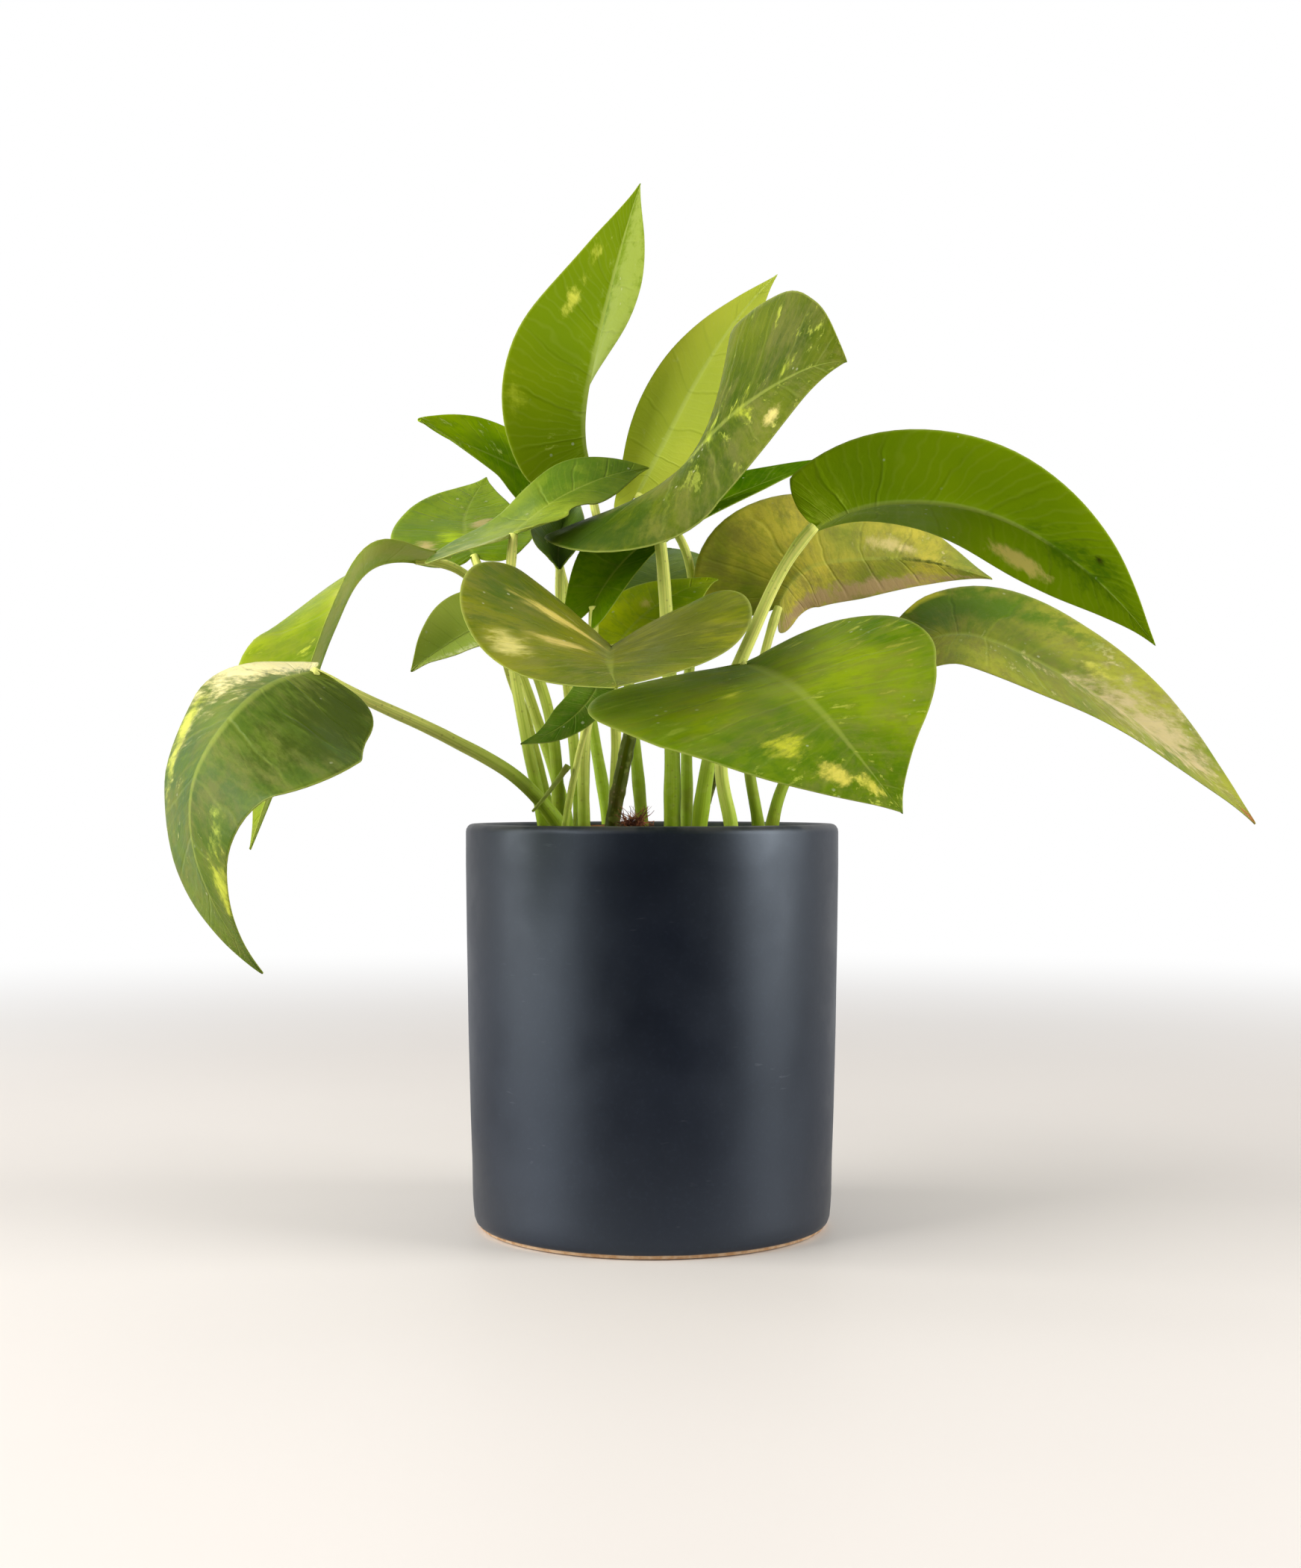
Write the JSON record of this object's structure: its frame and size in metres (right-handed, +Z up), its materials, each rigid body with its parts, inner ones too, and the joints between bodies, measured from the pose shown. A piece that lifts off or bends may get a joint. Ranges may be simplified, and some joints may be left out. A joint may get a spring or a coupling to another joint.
{
  "type": "potted plant",
  "caption": "Potted pothos: heart-shaped variegated leaves on long arching stalks, growing from soil in a straight-sided matte slate ceramic pot.",
  "frame": {"origin": "centre of the pot's flat underside, where it rests on a table", "axes": "+Z up along the pot's axis; -Y is the front; +X is to the right as seen from the front"},
  "size_m": [0.3148, 0.201, 0.331],
  "materials": {
    "slate_glaze": "matte",
    "potting_soil": "matte",
    "bark": "matte",
    "coir_fibre": "matte",
    "old_stem": "satin",
    "dry_sheath": "matte",
    "leaf_stalk": "satin",
    "leaf_top_left": "satin",
    "leaf_top_back": "satin",
    "leaf_top_right": "satin",
    "leaf_under_top": "satin",
    "leaf_left_high": "satin",
    "leaf_left_edge": "satin",
    "leaf_left_back": "satin",
    "leaf_left_arching": "satin",
    "leaf_left_hanging": "satin",
    "leaf_front_centre": "satin",
    "leaf_centre_back": "satin",
    "leaf_front_right": "satin",
    "leaf_right_high": "satin",
    "leaf_right_back": "satin",
    "leaf_right_long": "satin",
    "leaf_left_small": "satin",
    "leaf_back_small": "satin",
    "leaf_front_young": "satin",
    "leaf_centre_inner": "satin"
  },
  "bodies": {
    "root": {"pot": "slate_glaze", "soil": "potting_soil", "bark_chip": "bark", "coir_tuft": "coir_fibre", "vine_left": "old_stem", "vine_right": "old_stem", "dry_sheath": "dry_sheath", "leaf_top_left": "leaf_top_left", "stalk_top_left": "leaf_stalk", "leaf_top_back": "leaf_top_back", "stalk_top_back": "leaf_stalk", "leaf_top_right": "leaf_top_right", "stalk_top_right": "leaf_stalk", "leaf_under_top": "leaf_under_top", "stalk_under_top": "leaf_stalk", "leaf_left_high": "leaf_left_high", "stalk_left_high": "leaf_stalk", "leaf_left_edge": "leaf_left_edge", "stalk_left_edge": "leaf_stalk", "leaf_left_back": "leaf_left_back", "stalk_left_back": "leaf_stalk", "leaf_left_arching": "leaf_left_arching", "stalk_left_arching": "leaf_stalk", "leaf_left_hanging": "leaf_left_hanging", "stalk_left_hanging": "leaf_stalk", "leaf_front_centre": "leaf_front_centre", "stalk_front_centre": "leaf_stalk", "leaf_centre_back": "leaf_centre_back", "stalk_centre_back": "leaf_stalk", "leaf_front_right": "leaf_front_right", "stalk_front_right": "leaf_stalk", "leaf_right_high": "leaf_right_high", "stalk_right_high": "leaf_stalk", "leaf_right_back": "leaf_right_back", "stalk_right_back": "leaf_stalk", "leaf_right_long": "leaf_right_long", "stalk_right_long": "leaf_stalk", "leaf_left_small": "leaf_left_small", "stalk_left_small": "leaf_stalk", "leaf_back_small": "leaf_back_small", "stalk_back_small": "leaf_stalk", "leaf_front_young": "leaf_front_young", "stalk_front_young": "leaf_stalk", "leaf_centre_inner": "leaf_centre_inner", "stalk_centre_inner": "leaf_stalk"}
  },
  "joints": []
}
